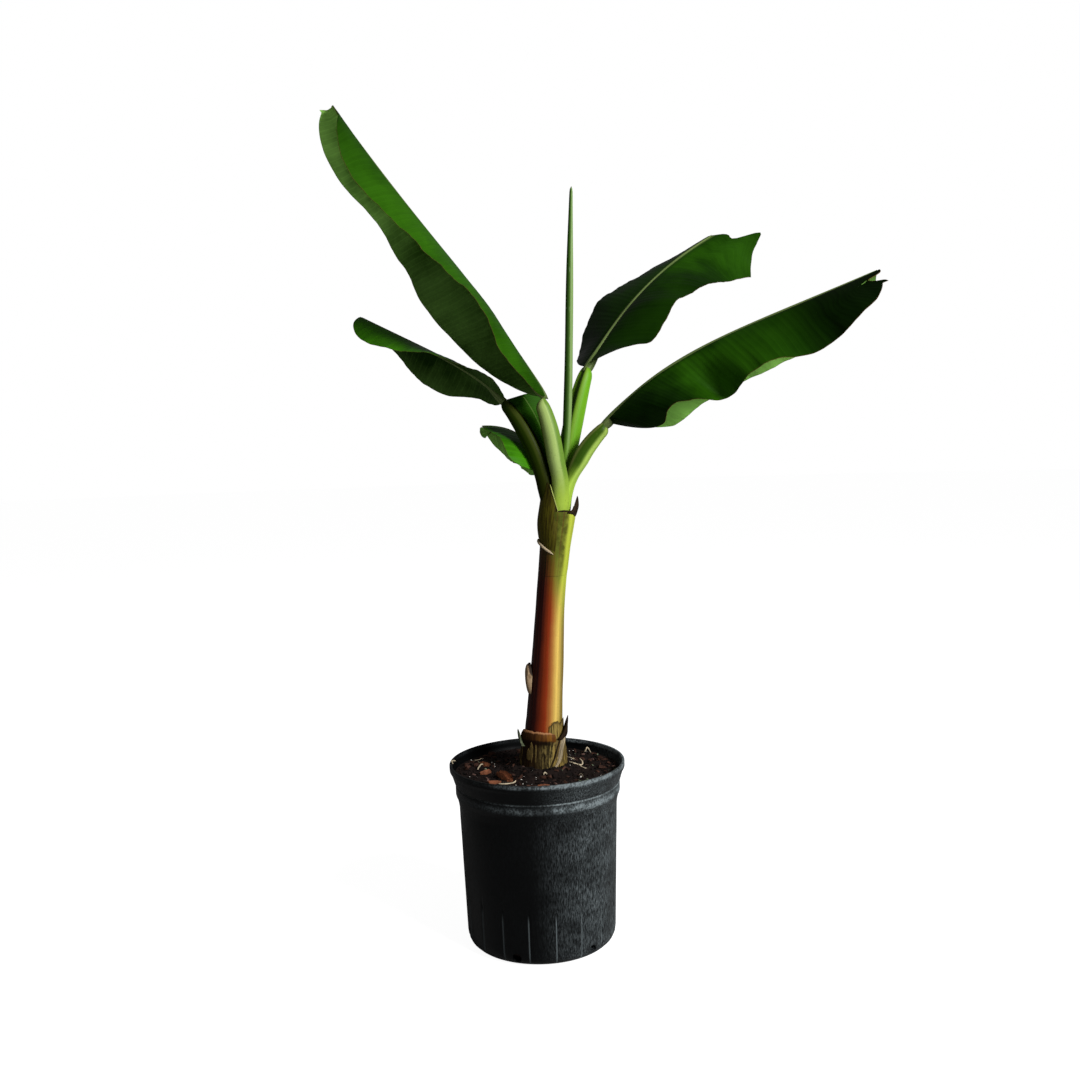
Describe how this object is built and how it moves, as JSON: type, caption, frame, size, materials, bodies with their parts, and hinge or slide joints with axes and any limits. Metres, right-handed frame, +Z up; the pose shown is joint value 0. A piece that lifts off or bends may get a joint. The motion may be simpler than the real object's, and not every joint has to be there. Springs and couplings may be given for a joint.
{
  "type": "potted banana plant",
  "caption": "Young banana plant with a leaning sheathed stem, folded arching leaves and a rolled new leaf, in a round black nursery pot of soil.",
  "frame": {"origin": "centre of the flat underside of the pot, where the plant stands on a floor or shelf", "axes": "+Z up; +X towards the side of the long leaf; -Y is the side that the picture is taken from"},
  "size_m": [0.6811, 0.3863, 1.0782],
  "materials": {
    "pot": "black moulded polyethylene, scuffed grey-blue, ribbed lower half",
    "soil": "damp dark potting mix with bark chips and white perlite",
    "stem": "living sheath, maroon on the shaded side, red-brown to yellow-green on the lit side, waxy",
    "dry_sheath": "dry fibrous sheath, olive tan with dark streaks",
    "dark_sheath": "withered sheath tip, dark brown",
    "green_sheath": "green sheath with a dark torn upper edge",
    "maroon_sheath": "maroon sheath with a pale torn edge",
    "stalk": "pale green waxy leaf stalk, olive on its shaded side",
    "midrib": "pale green midrib",
    "blade": "deep green glossy leaf with fine parallel side veins, translucent towards its margin",
    "spear": "rolled new leaf, pale green with a dark seam"
  },
  "bodies": {
    "root": {"pot": "pot", "soil": "soil", "pseudostem": "stem", "sheath_foot_front": "dry_sheath", "sheath_foot_back": "dry_sheath", "sheath_spike_right": "dark_sheath", "sheath_spike_left": "dark_sheath", "sheath_scale_left": "dry_sheath", "sheath_collar_front": "green_sheath", "sheath_collar_left": "maroon_sheath", "sheath_tip_right": "dark_sheath", "leaf_tall_stalk": "stalk", "leaf_tall_midrib": "midrib", "leaf_tall_blade_left": "blade", "leaf_tall_blade_right": "blade", "leaf_long_stalk": "stalk", "leaf_long_midrib": "midrib", "leaf_long_blade_left": "blade", "leaf_long_blade_right": "blade", "leaf_upper_stalk": "stalk", "leaf_upper_midrib": "midrib", "leaf_upper_blade_left": "blade", "leaf_upper_blade_right": "blade", "leaf_left_stalk": "stalk", "leaf_left_midrib": "midrib", "leaf_left_blade_left": "blade", "leaf_left_blade_right": "blade", "leaf_small_stalk": "stalk", "leaf_small_midrib": "midrib", "leaf_small_blade_left": "blade", "leaf_small_blade_right": "blade", "leaf_left_base_lobe": "blade", "leaf_spear": "spear"}
  },
  "joints": []
}
